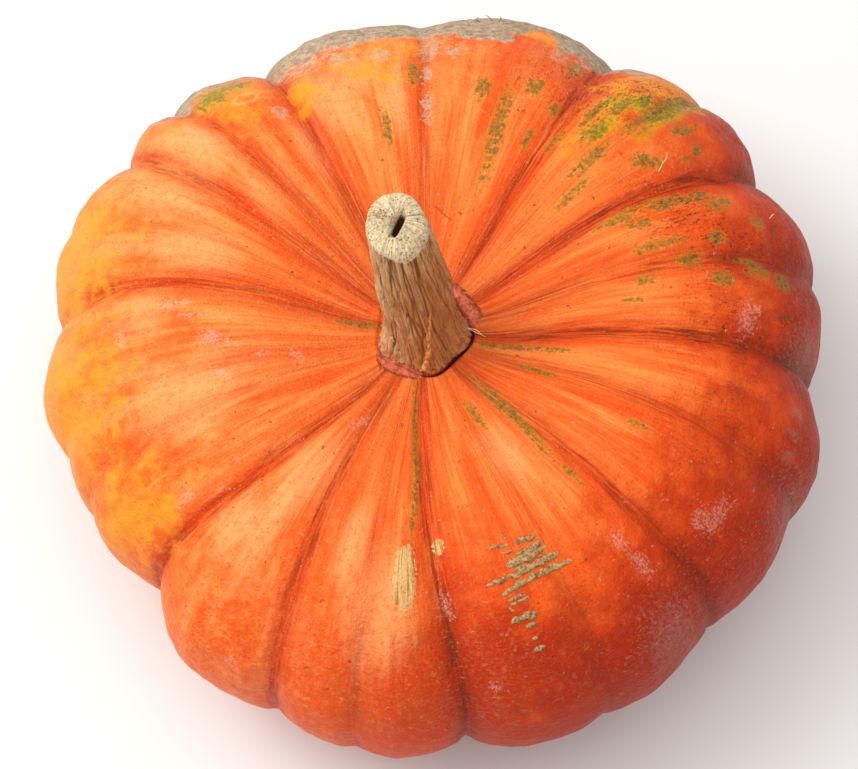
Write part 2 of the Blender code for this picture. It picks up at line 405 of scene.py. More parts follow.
def closed_grid(name, rings, low_pole, high_pole):
    """A closed mesh of rings from the low pole up to the high pole. Each ring goes counter-clockwise."""
    ring_count, count = rings.shape[:2]
    vertices = np.concatenate([rings.reshape(-1, 3), [low_pole], [high_pole]])
    low = ring_count * count
    number = np.arange(ring_count * count).reshape(ring_count, count)
    after = np.roll(number, -1, axis=1)
    quads = np.stack([number[:-1], after[:-1], after[1:], number[1:]], -1).reshape(-1, 4)
    first = [(low, b, a) for a, b in zip(number[0].tolist(), after[0].tolist())]
    last = [(low + 1, a, b) for a, b in zip(number[-1].tolist(), after[-1].tolist())]
    mesh = bpy.data.meshes.new(name)
    mesh.from_pydata(vertices.tolist(), [], quads.tolist() + first + last)
    mesh.shade_smooth()
    piece = bpy.data.objects.new(name, mesh)
    bpy.context.scene.collection.objects.link(piece)
    return piece


def write_fields(piece, fields):
    """Writes grids of numbers on the mesh. Each pole gets the mean of the ring next to it."""
    for name, values in fields.items():
        made = piece.data.attributes.new(name, "FLOAT", "POINT")
        ends = [values[0].mean(), values[-1].mean()]
        made.data.foreach_set("value", np.concatenate([values.ravel(), ends]).astype(np.float32))


def write_vectors(piece, name, values, ends):
    """Writes a grid of vectors on the mesh, and one for each pole."""
    made = piece.data.attributes.new(name, "FLOAT_VECTOR", "POINT")
    flat = np.concatenate([values.reshape(-1, 3), ends])
    made.data.foreach_set("vector", flat.astype(np.float32).ravel())


def grid_normals(rings):
    """Outward normals of rings of points."""
    east = np.roll(rings, -1, axis=1) - np.roll(rings, 1, axis=1)
    north = np.gradient(rings, axis=0)
    normals = np.cross(east, north)
    return normals / np.maximum(np.linalg.norm(normals, axis=-1, keepdims=True), 1e-12)


def skin_frame(azimuth, latitude):
    """A place on the skin with its directions along the rib to the stalk and across the rib."""
    one = fruit_surface(np.array([azimuth]), np.array([latitude]))[0]
    along = fruit_surface(np.array([azimuth]), np.array([latitude + 0.5]))[0] - one
    across = fruit_surface(np.array([azimuth + 0.5]), np.array([latitude]))[0] - one
    along /= np.linalg.norm(along)
    across -= along * np.dot(across, along)
    across /= np.linalg.norm(across)
    return one, along, across


def mark_field(points, marks):
    """1 in the middle of each mark, 0.5 on its edge and 0 from twice its size on."""
    field = np.zeros(points.shape[:-1])
    for mark in marks:
        middle, along, across = skin_frame(mark.azimuth, mark.latitude)
        turn = math.radians(mark.turn)
        main = along * math.cos(turn) + across * math.sin(turn)
        cross = across * math.cos(turn) - along * math.sin(turn)
        away = (points - middle) * 1000.0
        deep = np.cross(main, cross)
        u = away @ main / mark.half_length
        v = away @ cross / mark.half_width
        w = away @ deep / max(mark.half_length, mark.half_width)
        field = np.maximum(field, 1.0 - 0.5 * np.sqrt(u * u + v * v + w * w))
    return np.clip(field, 0.0, 1.0)


def ground_field(azimuth, latitude):
    """1 in the middle of the ground spot and 0.5 on its edge."""
    u = np.abs(wrapped(azimuth - GROUND_AZIMUTH)) / GROUND_HALF_WIDTH
    v = np.abs(latitude - GROUND_LATITUDE) / GROUND_HALF_HEIGHT
    reach = (u**GROUND_SQUARENESS + v**GROUND_SQUARENESS) ** (1.0 / GROUND_SQUARENESS)
    return np.clip(0.5 + 0.5 * GROUND_SHARPNESS * (1.0 - reach), 0.0, 1.0)


def furrow_distance(azimuth, spread):
    """Distance in millimetres from the nearest furrow's line, and that furrow's depth in millimetres."""
    nearest = np.full(azimuth.shape, 1e9)
    depth = np.zeros(azimuth.shape)
    for furrow in FURROWS:
        off = np.abs(wrapped(azimuth - furrow.azimuth))
        depth = np.where(off < nearest, furrow.depth * 1000.0, depth)
        nearest = np.minimum(nearest, off)
    return np.radians(nearest) * spread * MEAN_REACH * 1000.0, depth


# The skin round the stalk's foot: the reach of its torn edge, how far it stands up, how much pink flesh
# shows inside the edge, and how deep the crevice between foot and skin is and how much painted shade darkens
# it
Tear = collections.namedtuple("Tear", "bearing reach rise flesh crevice")
TEARS = table(
    Tear,
    (2, 0.0210, 0.3, 0, 1), (9, 0.0236, 0.8, 0.8, 0.5), (17, 0.0262, 1, 1, 0.4), (30, 0.0250, 1, 1, 0.5),
    (45, 0.0252, 1, 1, 0.6), (56, 0.0258, 0.9, 0.9, 0.7), (64, 0.0235, 0.4, 0.3, 0.3),
    (75, 0.0208, 0, 0, 0.2), (130, 0.0208, 0, 0, 0.1), (190, 0.0208, 0.1, 0, 0.1),
    (205, 0.0222, 0.4, 0.3, 0.1), (216, 0.0244, 0.5, 1, 0.3), (225, 0.0254, 0.6, 1, 0.3),
    (236, 0.0240, 0.5, 1, 0.3), (250, 0.0232, 0.4, 1, 0.3), (262, 0.0228, 0.4, 0.8, 0.4),
    (272, 0.0222, 0.3, 0.1, 0.7), (285, 0.0214, 0.3, 0, 1), (325, 0.0214, 0.4, 0, 1),
    (345, 0.0212, 0.3, 0, 0.8),
)
CREVICE_DEPTH = 0.0030
CREVICE_OFFSET = 0.0004
CREVICE_HALF_WIDTH = 0.0009
TEAR_HEIGHT = 0.0021
# How far the torn edge's lift reaches outside the edge and inside it, and the half width of its dry border
TEAR_FALL = 0.0040
TEAR_LIP = 0.0022
BORDER_HALF_WIDTH = 0.0009
# The flesh fades out over these distances at the torn edge and at the foot, and runs on under the foot
FLESH_SOFT_EDGE = 0.0005
FLESH_SOFT_FOOT = 0.0010
FLESH_UNDER_FOOT = 0.0025
# Inside the first distance from the axis the skin is torn, and inside the second the stalk covers it
TORN_REACH = 0.045
COVERED_REACH = 0.0175
# The fine relief starts at this distance from the axis and is full this much farther out
RELIEF_FROM = 0.020
RELIEF_OVER = 0.010


def foot_reach(bearing):
    """Distance of the stalk's foot from its axis."""
    corner = np.cos(np.radians(CORNERS * (bearing - CORNER_AZIMUTH)))
    return SHAFT_RADIUS * (1.0 + CORNER_SWELL * corner) + FOOT_FLARE * (1.0 + FLARE_SWELL * corner)


def tear_relief(bearing, reach):
    """Height of the torn skin over the plain skin; its flesh, the crevice's painted shade and dry border from
    0 to 1.
    """
    edge, rise, flesh, crevice = (
        around(bearing, [(tear.bearing, getattr(tear, name)) for tear in TEARS])
        for name in ("reach", "rise", "flesh", "crevice")
    )
    outer = np.exp(-np.clip(reach - edge, 0.0, None) / TEAR_FALL) * (reach >= edge)
    inner = eased(1.0 - (edge - reach) / TEAR_LIP) * (reach < edge)
    beyond = reach - foot_reach(bearing) - CREVICE_OFFSET
    dark = np.exp(-((beyond / CREVICE_HALF_WIDTH) ** 2))
    lift = TEAR_HEIGHT * rise * (outer + inner) - CREVICE_DEPTH * dark * (0.2 + 0.8 * crevice)
    bare = flesh * eased((edge - reach) / FLESH_SOFT_EDGE)
    bare = bare * eased((beyond + FLESH_UNDER_FOOT) / FLESH_SOFT_FOOT)
    border = flesh * np.exp(-(((reach - edge) / BORDER_HALF_WIDTH) ** 2))
    return lift, bare, dark * (0.15 + 0.85 * crevice), border


def lines_of(azimuth, way):
    """Coordinates that follow the ribs: round the fruit in the first two, along a meridian in the third."""
    angle = np.radians(azimuth)
    return np.stack([np.cos(angle), np.sin(angle), way], -1)


# Heights of the skin's fine relief, in metres
RIDGE_HEIGHT = 0.0004
STRAND_HEIGHT = 0.00013
LUMP_HEIGHT = 0.0008
GRAIN_HEIGHT = 0.00014
DIMPLE_HEIGHT = 0.0004
CRUST_GRAIN_HEIGHT = 0.0005
CRUST_HEIGHT = 0.0003
TAN_HEIGHT = 0.0007


def skin_relief(azimuth, latitude, points, fields):
    """Fine relief of the skin, in metres outwards."""
    spread = spread_of(latitude)
    lines = lines_of(azimuth, latitude / 90.0)
    ridges = fractal(lines * np.array([13.0, 13.0, 2.2]), 3)
    strands = fractal(lines * np.array([42.0, 42.0, 6.0]) + 7.0, 2)
    lumps = fractal(points * 38.0 + 3.0, 3)
    grain = fractal(points * 150.0 + 11.0, 2)
    dimples = fractal(points * 85.0 + 5.0, 2)
    relief = RIDGE_HEIGHT * ridges * eased(spread / 0.5) + STRAND_HEIGHT * strands
    relief += LUMP_HEIGHT * lumps * eased(spread / 0.7) + GRAIN_HEIGHT * grain * eased(spread)
    relief += DIMPLE_HEIGHT * dimples * eased((spread - 0.4) / 0.5)
    crust = eased((fields["ground"] - 0.45) / 0.15)
    relief += crust * (CRUST_GRAIN_HEIGHT * grain + CRUST_HEIGHT)
    relief += TAN_HEIGHT * eased((fields["tan"] - 0.35) / 0.25)
    return relief


def skin_fields(azimuth, latitude, points):
    """The numbers that the skin's material reads at each point."""
    spread = spread_of(latitude)
    fields = {name: mark_field(points, marks) for name, marks in MARKS.items()}
    ground = np.maximum(ground_field(azimuth, latitude), mark_field(points, CRUST_MARKS))
    gap = np.clip(mark_field(points, GAP_MARKS) - GAP_EDGE, 0.0, None)
    fields["ground"] = ground - GAP_STRENGTH * gap
    fields["spread"] = np.where(latitude > 0.0, spread, 2.0 - spread)
    for name, middle in (("ripe_and_shaded", RIPE_AND_SHADED_AZIMUTH), ("specked", SPECKED_AZIMUTH)):
        fields[name] = 0.5 + 0.5 * np.cos(np.radians(azimuth - middle))
    fields["line"], fields["depth"] = furrow_distance(azimuth, spread)
    return fields


def raised_skin(azimuth, latitude, points, fields):
    """The points with all relief. The fields of the torn skin round the stalk are added."""
    spread = spread_of(latitude)
    reach = np.hypot(points[..., 0] - AXIS_X, points[..., 1] - AXIS_Y)
    bearing = np.degrees(np.arctan2(points[..., 1] - AXIS_Y, points[..., 0] - AXIS_X)) % 360.0
    relief = skin_relief(azimuth, latitude, points, fields) * eased((reach - RELIEF_FROM) / RELIEF_OVER)
    relief -= SKIN_INSET * eased((spread - 0.2) / 0.3)
    torn = (latitude > 0.0) & (reach < TORN_REACH)
    lift, *shares = tear_relief(bearing, reach)
    relief += np.where(torn, lift, 0.0)
    for name, share in zip(("flesh", "crevice", "border"), shares):
        fields[name] = np.where(torn, share, 0.0)
    covered = (latitude > 0.0) & (reach < COVERED_REACH)
    raised = points + grid_normals(points) * np.where(covered, 0.0, relief)[..., None]
    low, high = (np.array(corner) for corner in CAD_BOX)
    raised[..., :2] = np.clip(raised[..., :2], low[:2] + BOX_MARGIN, high[:2] - BOX_MARGIN)
    raised[..., 2] = np.maximum(raised[..., 2], 0.0)
    return raised


def build_skin():
    """The whole skin as one closed fine mesh, with the fields that its material reads."""
    azimuth, latitude = np.meshgrid(meridian_azimuths(SKIN_MERIDIANS), ring_latitudes(SKIN_RINGS))
    points = fruit_surface(azimuth, latitude)
    fields = skin_fields(azimuth, latitude, points)
    points = raised_skin(azimuth, latitude, points, fields)
    low_pole = [AXIS_X, AXIS_Y, points[0, :, 2].mean()]
    high_pole = [AXIS_X, AXIS_Y, RING_HEIGHT + SEAT]
    skin = closed_grid("pumpkin_skin", points, low_pole, high_pole)
    write_fields(skin, fields)
    write_vectors(skin, "lines", lines_of(azimuth, latitude / 90.0), [[0.0, 0.0, -1.0], [0.0, 0.0, 1.0]])
    skin.data.materials.append(skin_material())
    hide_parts("fruit")
    return skin


class Value:
    """A node's output. Sums of values read as formulas, and each makes its node."""

    def __init__(self, graph, socket):
        self.graph = graph
        self.socket = socket

    def math(self, operation, other=0.0):
        """One sum with another value or a number."""
        return self.graph.node("Math", {0: self, 1: other}, "Value", operation=operation)

    def __add__(self, other):
        return self.math("ADD", other)

    def __sub__(self, other):
        return self.math("SUBTRACT", other)

    def __mul__(self, other):
        return self.math("MULTIPLY", other)

    def __abs__(self):
        return self.math("ABSOLUTE")

    __radd__ = __add__
    __rmul__ = __mul__

    def most(self, *others):
        """The greatest of this number and others."""
        value = self
        for other in others:
            value = value.math("MAXIMUM", other)
        return value

    def rise(self, low, high):
        """0 below low and 1 above high, or the other way round where low is the greater."""
        ends = (low, high, 0.0, 1.0) if low < high else (high, low, 1.0, 0.0)
        inputs = dict(zip(("From Min", "From Max", "To Min", "To Max"), ends), Value=self)
        return self.graph.node("MapRange", inputs, "Result", interpolation_type="SMOOTHSTEP")

    def edge(self, ragged, width, amount):
        """A mark's mask from its field, with an edge made ragged by a noise."""
        return (self + (ragged - 0.5) * amount).rise(0.5 - width, 0.5 + width)

    def covered(self, colour, share):
        """This colour with a share of another over it."""
        return self.graph.blend(share, self, colour)


class Graph:
    """Makes a material's nodes. An input takes a Value, a number, a vector or a colour."""

    def __init__(self, name, lines=None):
        self.material = bpy.data.materials.new(name)
        self.material.use_nodes = True
        self.tree = self.material.node_tree
        self.shader = self.tree.nodes["Principled BSDF"]
        self.place = self.node("TexCoord", {}, "Object")
        self.lines = self.field(lines, "Vector") if lines else None

    def put(self, socket, value):
        """Links or sets one input."""
        if isinstance(value, Value):
            self.tree.links.new(value.socket, socket)
        elif isinstance(value, tuple) and socket.type == "RGBA":
            socket.default_value = (*value, 1.0)
        else:
            socket.default_value = value

    def node(self, kind, inputs, output, **settings):
        """One output of a new node, with its inputs by name or number."""
        node = self.tree.nodes.new("ShaderNode" + kind)
        for name, value in settings.items():
            setattr(node, name, value)
        for name, value in inputs.items():
            self.put(node.inputs[name], value)
        return Value(self, node.outputs[output])

    def field(self, name, output="Fac"):
        """A number or vector written on the mesh."""
        return self.node("Attribute", {}, output, attribute_name=name)

    def stretched(self, vector, scale):
        """The vector times a scale for each axis."""
        return self.node("VectorMath", {0: vector, 1: scale}, "Vector", operation="MULTIPLY")

    def noise(self, vector, scale, detail=2.0, roughness=0.5, distortion=0.0, output="Fac"):
        """Smooth noise from 0 to 1."""
        inputs = {"Vector": vector, "Scale": scale, "Detail": detail}
        inputs.update({"Roughness": roughness, "Distortion": distortion})
        return self.node("TexNoise", inputs, output)

    def lined(self, round_scale, along_scale, *settings):
        """Noise whose cells follow the ribs or fibres, with a scale round the piece and one along it."""
        return self.noise(self.stretched(self.lines, (round_scale, round_scale, along_scale)), 1.0, *settings)

    def warped(self, vector, scale, amount):
        """The vector pushed about by a noise."""
        push = self.noise(vector, scale, output="Color")
        push = self.node("VectorMath", {0: push, 1: (0.5, 0.5, 0.5)}, "Vector", operation="SUBTRACT")
        inputs = {0: push, 1: (amount, amount, amount), 2: vector}
        return self.node("VectorMath", inputs, "Vector", operation="MULTIPLY_ADD")

    def blend(self, factor, below, above):
        """Two colours by a factor."""
        return self.node("Mix", {"Factor": factor, 6: below, 7: above}, 2, data_type="RGBA")

    def bump(self, height, distance, under=None):
        """Bump relief of a height from 0 to 1 over a distance in metres, on another relief if given."""
        inputs = {"Height": height, "Distance": distance}
        if under is not None:
            inputs["Normal"] = under
        return self.node("Bump", inputs, "Normal")

    def finish(self, colour, roughness, normal, specular):
        """Wires the shader and returns the material."""
        inputs = {"Base Color": colour, "Roughness": roughness, "Normal": normal}
        inputs["Specular IOR Level"] = specular
        for name, value in inputs.items():
            self.put(self.shader.inputs[name], value)
        return self.material


# Colours of the skin
PALE_ORANGE = srgb(254, 176, 110)
LIGHT_ORANGE = srgb(252, 140, 62)
ORANGE = srgb(248, 114, 34)
DEEP_ORANGE = srgb(240, 88, 24)
RED_ORANGE = srgb(214, 54, 8)
# Painted shade: deep red towards the rim on the side away from the key light
DEEP_RED_SHADE = srgb(160, 34, 6)
# Painted shade in the furrows, partly their own redder colour
FURROW_SHADE_RED = srgb(202, 54, 14)
# Painted shade in the deep furrows on the side away from the key light
MAROON_SHADE = srgb(106, 20, 6)
GOLD = srgb(250, 156, 32)
FURROW_BROWN = srgb(110, 42, 16)
OLIVE = srgb(96, 76, 32)
OLIVE_LIGHT = srgb(150, 120, 50)
LEAF_GREEN = srgb(118, 116, 26)
GREEN_GOLD = srgb(206, 160, 28)
GREY_BEIGE = srgb(206, 186, 158)
GREY_DARK = srgb(158, 138, 114)
TAN = srgb(200, 146, 82)
TAN_LIGHT = srgb(230, 184, 120)
TAN_DARK = srgb(142, 94, 50)
SCUFF_PINK = srgb(240, 176, 146)
SCUFF_WHITE = srgb(226, 204, 190)
SCUFF_GREY = srgb(158, 128, 118)
FLESH_PINK = srgb(236, 128, 96)
FLESH_BROWN = srgb(178, 80, 56)
# Painted shade for the crevice round the stalk's foot
CREVICE_SHADE = srgb(34, 20, 12)


class SkinGraph(Graph):
    """The skin's nodes, with the fields and noises that several of its marks share."""

    def __init__(self):
        super().__init__("pumpkin_skin", "lines")
        self.spread = self.field("spread")
        self.ripe_and_shaded = self.field("ripe_and_shaded")
        self.patch = self.lined(13.0, 4.2, 3.0, 0.55, 0.7)
        self.strand = self.lined(34.0, 3.0, 3.0, 0.55, 0.3)
        self.hair = self.lined(110.0, 6.0, 2.0, 0.6)
        self.fibres = self.lined(95.0, 11.0, 3.0, 0.65)
        self.fleck = self.lined(120.0, 84.0, 3.0, 0.7)
        self.teeth = self.lined(45.0, 95.0, 3.0, 0.65)
        self.mottle = self.noise(self.warped(self.place, 40.0, 0.010), 90.0, 5.0, 0.65)
        self.cloud = self.noise(self.place, 22.0, 3.0)
        self.pebble = self.noise(self.place, 300.0, 3.0, 0.65)
        self.grit = self.noise(self.place, 300.0, 4.0, 0.7)
        self.fine = self.noise(self.place, 420.0, 3.0, 0.6)
        self.tiny = self.noise(self.place, 900.0, 3.0, 0.7)


def streaked(g):
    """The skin's own orange: streaked near the stalk and mottled near the rim."""
    streaks = g.patch * 0.45 + g.lined(5.0, 1.6) * 0.25 + g.strand * 0.2 + g.hair * 0.1
    upper = g.blend(streaks.rise(0.38, 0.62), DEEP_ORANGE, LIGHT_ORANGE)
    upper = upper.covered(PALE_ORANGE, g.hair.rise(0.54, 0.72) * 0.22)
    upper = upper.covered(RED_ORANGE, g.hair.rise(0.44, 0.30) * 0.30)
    body = g.blend(g.mottle.rise(0.36, 0.62), DEEP_ORANGE, ORANGE)
    body = body.covered(LIGHT_ORANGE, g.mottle.rise(0.54, 0.70) * 0.6)
    return upper.covered(body, g.spread.rise(0.50, 0.90) * 0.8)


def ripened(g, colour):
    """Red-orange and deep red on the side away from the key light, partly the side's own ripened red and
    partly painted shade; gold and pale patches on the other side, with a painted sheen; and a fine mottle on
    the rim, whose pale pebbles are partly painted glints.
    """
    # Partly painted shade: red-orange towards the rim on the side away from the key light, partly its own
    # ripened red
    red = (g.spread * 0.55 + g.cloud * 0.5 + g.mottle * 0.45).rise(0.70, 1.02) * g.ripe_and_shaded.rise(0.25, 0.85)
    colour = colour.covered(RED_ORANGE, red * 0.85)
    # Painted shade: deep red towards the rim and underside on the side away from the key light
    deep = (g.spread * 0.7 + g.cloud * 0.35 + g.mottle * 0.25).rise(0.76, 1.00) * g.ripe_and_shaded.rise(0.5, 0.9)
    colour = colour.covered(DEEP_RED_SHADE, deep * 0.9)
    yellow = (g.spread * 0.6 + g.cloud * 0.6).rise(0.62, 0.95) * g.ripe_and_shaded.rise(0.45, 0.0)
    colour = colour.covered(GOLD, yellow * 0.55)
    # Painted sheen: soft pale patches on the ribs of the lit side
    painted_sheen = (g.patch * 0.5 + g.cloud * 0.5).rise(0.46, 0.62)
    painted_sheen = painted_sheen * g.spread.rise(0.3, 0.6) * g.ripe_and_shaded.rise(0.7, 0.2)
    colour = colour.covered(PALE_ORANGE, painted_sheen * 0.40)
    bleached = g.field("pale").edge(g.patch * 0.6 + g.strand * 0.4, 0.35, 1.2)
    colour = colour.covered(PALE_ORANGE, bleached * 0.55)
    outer = g.spread.rise(0.3, 0.85)
    colour = colour.covered(RED_ORANGE, g.pebble.rise(0.50, 0.34) * outer * 0.30)
    # Partly painted glints: pale pebbles on the rim, strongest on the lit side
    light = g.pebble.rise(0.54, 0.70) * g.ripe_and_shaded.rise(1.15, 0.3)
    return colour.covered(PALE_ORANGE, light * outer * 0.28)


def furrowed(g, colour):
    """Red-orange and thin brown lines in the furrows, partly their own colour and partly painted shade, and
    maroon painted shade in the deep furrows near the rim on the side away from the key light.
    """
    depth = g.field("depth").rise(0.0, 8.0)
    line = g.field("line") + (g.lined(26.0, 9.0, 3.0, 0.6) - 0.5) * 7.0
    # Partly painted shade: red-orange that darkens the deeper furrows most, partly their own redder skin
    near = line.rise(10.0, 0.0) * depth
    colour = colour.covered(FURROW_SHADE_RED, near * (0.3 + g.strand.rise(0.4, 0.6) * 0.55))
    # Painted shade: maroon in the deep furrows near the rim, on the side away from the key light
    maroon = line.rise(12.0, 0.0) * depth * g.spread.rise(0.6, 1.0) * g.ripe_and_shaded.rise(0.45, 0.9)
    colour = colour.covered(MAROON_SHADE, maroon * 0.6)
    # Thin brown lines in the creases: partly their own colour, partly painted shade, stronger on the side
    # away from the key light
    thin = line.rise(4.6, 0.8) * depth * g.fibres.rise(0.45, 0.58)
    return colour.covered(FURROW_BROWN, thin * (0.42 + g.ripe_and_shaded * 0.33))


def grained(g, colour):
    """Small light and dark grains all over, the light ones partly painted glints that are strongest on the
    lit side, and dark pores.
    """
    colour = colour.covered(RED_ORANGE, g.tiny.rise(0.45, 0.30) * 0.45)
    # Partly painted glints: pale grains, strongest on the side facing the key light
    colour = colour.covered(PALE_ORANGE, g.tiny.rise(0.56, 0.70) * g.ripe_and_shaded.rise(1.2, 0.3) * 0.28)
    pores = g.noise(g.place, 330.0, 2.0, 0.5).rise(0.30, 0.24)
    return colour.covered(FURROW_BROWN, pores * 0.6)


def blotched(g, colour):
    """Gold and green patches, the ring scar and the olive marks."""
    gold = g.field("gold").edge(g.mottle, 0.3, 1.6)
    colour = colour.covered(GOLD, gold * (0.40 + g.mottle.rise(0.4, 0.6) * 0.45))
    leafy = g.field("green").edge(g.mottle, 0.3, 1.4)
    colour = colour.covered(GREEN_GOLD, leafy * 0.75)
    ring = abs(g.field("ring") - 0.5 + (g.fine - 0.5) * 0.3).rise(0.12, 0.04)
    colour = colour.covered(PALE_ORANGE, ring * 0.6)
    ragged = g.lined(64.0, 16.0, 3.0, 0.6) * 0.5 + g.fine * 0.5
    halo = (g.field("olive") + 0.08).edge(ragged, 0.2, 1.4)
    colour = colour.covered(GREEN_GOLD, halo * 0.25)
    green = g.blend(g.tiny.rise(0.35, 0.65), OLIVE, OLIVE_LIGHT).covered(LEAF_GREEN, leafy * 0.8)
    olive = (g.field("olive") - 0.04).edge(ragged, 0.20, 2.2)
    return colour.covered(green, olive * (0.40 + g.fine.rise(0.38, 0.60) * 0.45))


def specked(g, colour):
    """Dark specks, most on one side."""
    share = g.cloud.rise(0.40, 0.60) * g.spread.rise(0.25, 0.6) * (g.field("specked").rise(0.74, 1.0) + 0.12)
    small = g.lined(190.0, 130.0).rise(0.58, 0.65)
    large = g.lined(76.0, 54.0, 3.0, 0.6).rise(0.57, 0.64)
    dark = g.blend(g.fine.rise(0.4, 0.6), FURROW_BROWN, OLIVE)
    return colour.covered(dark, small.most(large) * share * 0.8)


def scuff_mask(g):
    """Where the skin is scuffed: the marked places, stray strokes and flecks round the stalk's foot."""
    bends = abs(g.noise(g.place, 210.0, 2.0) - 0.5)
    strokes = bends.rise(0.024, 0.004) * g.fleck.rise(0.44, 0.56)
    marked = g.field("scuff").edge(g.fine * 0.4 + g.fleck * 0.6, 0.18, 3.2)
    marked = marked * strokes.most(g.tiny.rise(0.40, 0.58) * 0.6)
    stray = strokes * g.cloud.rise(0.56, 0.68)
    foot_flecks = g.fleck.rise(0.58, 0.68) * g.spread.rise(0.44, 0.22)
    return marked.most(stray * 0.25, foot_flecks * 0.5)


def scuffed(g, colour, scuff):
    """Pale wax on the rim, grey patches and white scuffs."""
    rim = g.spread.rise(0.74, 1.0) * g.cloud.rise(0.34, 0.54)
    dashes = g.lined(60.0, 150.0, 3.0, 0.6).rise(0.57, 0.66)
    wax = (g.fleck.rise(0.54, 0.70) * 0.5).most(dashes * 0.8) * rim
    colour = colour.covered(SCUFF_PINK, wax * 0.17)
    grey = g.field("grey").edge(g.fleck, 0.34, 2.2)
    colour = colour.covered(SCUFF_GREY, grey * (0.12 + g.tiny.rise(0.4, 0.6) * 0.40))
    return colour.covered(SCUFF_WHITE, scuff * 0.43)


def crusted(g, colour, ground):
    """The dry grey-beige crust of the ground spot and of the wrinkles beside it."""
    crust = g.blend(g.grit.rise(0.32, 0.68), GREY_DARK, GREY_BEIGE)
    wrinkled = g.field("wrinkle").edge(g.teeth, 0.16, 2.6)
    colour = colour.covered(crust, wrinkled * (0.25 + g.tiny.rise(0.40, 0.56) * 0.5))
    return colour.covered(crust, ground * 0.95)


def patched(g, colour, tan):
    """The tan dry patch with its fine lines."""
    patch = g.blend(g.fibres.rise(0.34, 0.62), TAN, TAN_LIGHT)
    patch = patch.covered(TAN_DARK, g.fibres.rise(0.46, 0.38) * 0.6)
    patch = patch.covered(TAN_DARK, g.tiny.rise(0.44, 0.34) * 0.5)
    return colour.covered(patch, tan)


def torn(g, colour, flesh, crevice):
    """Pink flesh, its dry border and painted shade in the crevice round the stalk's foot."""
    colour = colour.covered(g.blend(g.fine.rise(0.30, 0.66), FLESH_BROWN, FLESH_PINK), flesh)
    border = (g.field("border") + (g.fine - 0.5)).rise(0.40, 0.75)
    colour = colour.covered(g.blend(g.tiny.rise(0.5, 0.66), FURROW_BROWN, TAN), border * 0.7)
    # Painted shade: the narrow crevice round the stalk's foot is coloured near black
    return colour.covered(CREVICE_SHADE, crevice * 0.92)


def skin_height(g):
    """Height of the skin's bump relief: lumps, pebbles, hairs, folds at the rim and the crust's grit."""
    lumps = g.noise(g.place, 95.0, 2.0, 0.6)
    folds = g.lined(48.0, 62.0, 2.0, 0.6) * g.spread.rise(0.6, 1.0)
    height = lumps * 0.6 + g.pebble * (g.spread + 0.2) * 0.4 + g.tiny * 0.4 + g.hair * 0.15
    return height + folds * 0.45 + g.field("ground").rise(0.4, 0.6) * g.grit * 0.9


def skin_material():
    """Waxy skin with its streaks, furrows, marks and scuffs, and the dry ground spot."""
    g = SkinGraph()
    ground = g.field("ground").edge(g.mottle * 0.6 + g.fine * 0.4, 0.10, 0.9)
    tan = g.field("tan").edge(g.teeth * 0.7 + g.fine * 0.3, 0.05, 1.0)
    flesh = g.field("flesh").rise(0.15, 0.45)
    crevice = g.field("crevice").rise(0.3, 0.75)
    scuff = scuff_mask(g)
    colour = grained(g, furrowed(g, ripened(g, streaked(g))))
    colour = specked(g, blotched(g, colour))
    colour = scuffed(g, colour, scuff)
    colour = crusted(g, colour, ground)
    colour = patched(g, colour, tan)
    colour = torn(g, colour, flesh, crevice)
    dry = ground.most(tan, scuff, flesh, crevice)
    roughness = dry * 0.4 + g.mottle * 0.12 + 0.30
    return g.finish(colour, roughness, g.bump(skin_height(g), 0.002), 0.07)


def slit_depth(x, y):
    """Depth of the pith's slit at places on the cut end, in metres."""
    turn = math.radians(SLIT_AZIMUTH)
    along = (x - SLIT_X) * math.cos(turn) + (y - SLIT_Y) * math.sin(turn)
    across = (y - SLIT_Y) * math.cos(turn) - (x - SLIT_X) * math.sin(turn)
    off = (np.abs(along) / SLIT_HALF_LENGTH) ** 3 + (np.abs(across) / SLIT_HALF_WIDTH) ** 3
    return SLIT_DEPTH * np.exp(-off)


def grooves(rings, scale, shift, width):
    """1 in the wandering grooves between fibres and 0 away from them."""
    return np.exp(-((fractal(rings * np.array(scale) + shift, 2) / width) ** 2))


def stalk_radius(azimuth, way, side_way, cut_way, height, fibrous):
    """Distance of the stalk's surface from its axis, with corners, foot, bevel and rounded cut end."""
    square = 1.0 - 0.8 * eased((side_way - 0.5) / 0.4)
    corner = np.cos(np.radians(CORNERS * (azimuth - CORNER_AZIMUTH)))
    radius = SHAFT_RADIUS * (1.0 + CORNER_SWELL * corner * square)
    radius += FOOT_FLARE * np.exp(-height / FOOT_HEIGHT) * (1.0 + FLARE_SWELL * corner)
    facing = np.clip(np.cos(np.radians(azimuth - BEVEL_AZIMUTH)), 0.0, None) ** 2
    radius -= BEVEL_DEPTH * facing * eased((height - STALK_LENGTH + BEVEL_HEIGHT) / BEVEL_HEIGHT)
    radius += SHAFT_SWELL - fibrous
    radius -= HEAD_SHRINK * eased((side_way - 0.45) / 0.55)
    radius *= np.clip(way / FOOT_EDGE, 0.0, 1.0)
    return radius * np.cos(np.radians(90.0 * cut_way)) ** 0.72


def cut_relief(x, y, height, cut_way, slit):
    """Height of the cut end's lumps and pits, less the pith's slit."""
    places = np.stack([x, y, height], -1)
    rough = CUT_LUMP * fractal(places * 110.0, 2) + CUT_PIT * fractal(places * 330.0, 3) - CUT_SINK
    return np.where(cut_way > 0.0, rough, 0.0) - slit


def stalk_points(x, y, height, side_way):
    """The stalk's points on its seat, leaning, and within the CAD box."""
    base = np.array([AXIS_X, AXIS_Y, RING_HEIGHT + SEAT + GAP])
    shift = HEAD_SHIFT * eased((side_way - 0.5) / 0.5)
    points = np.stack([x - STALK_LEAN * height - shift, y + STALK_LEAN_BACK * height, height], -1) + base
    points[..., 2] = np.clip(points[..., 2], base[2], CAD_BOX[1][2] - BOX_MARGIN)
    return points, base


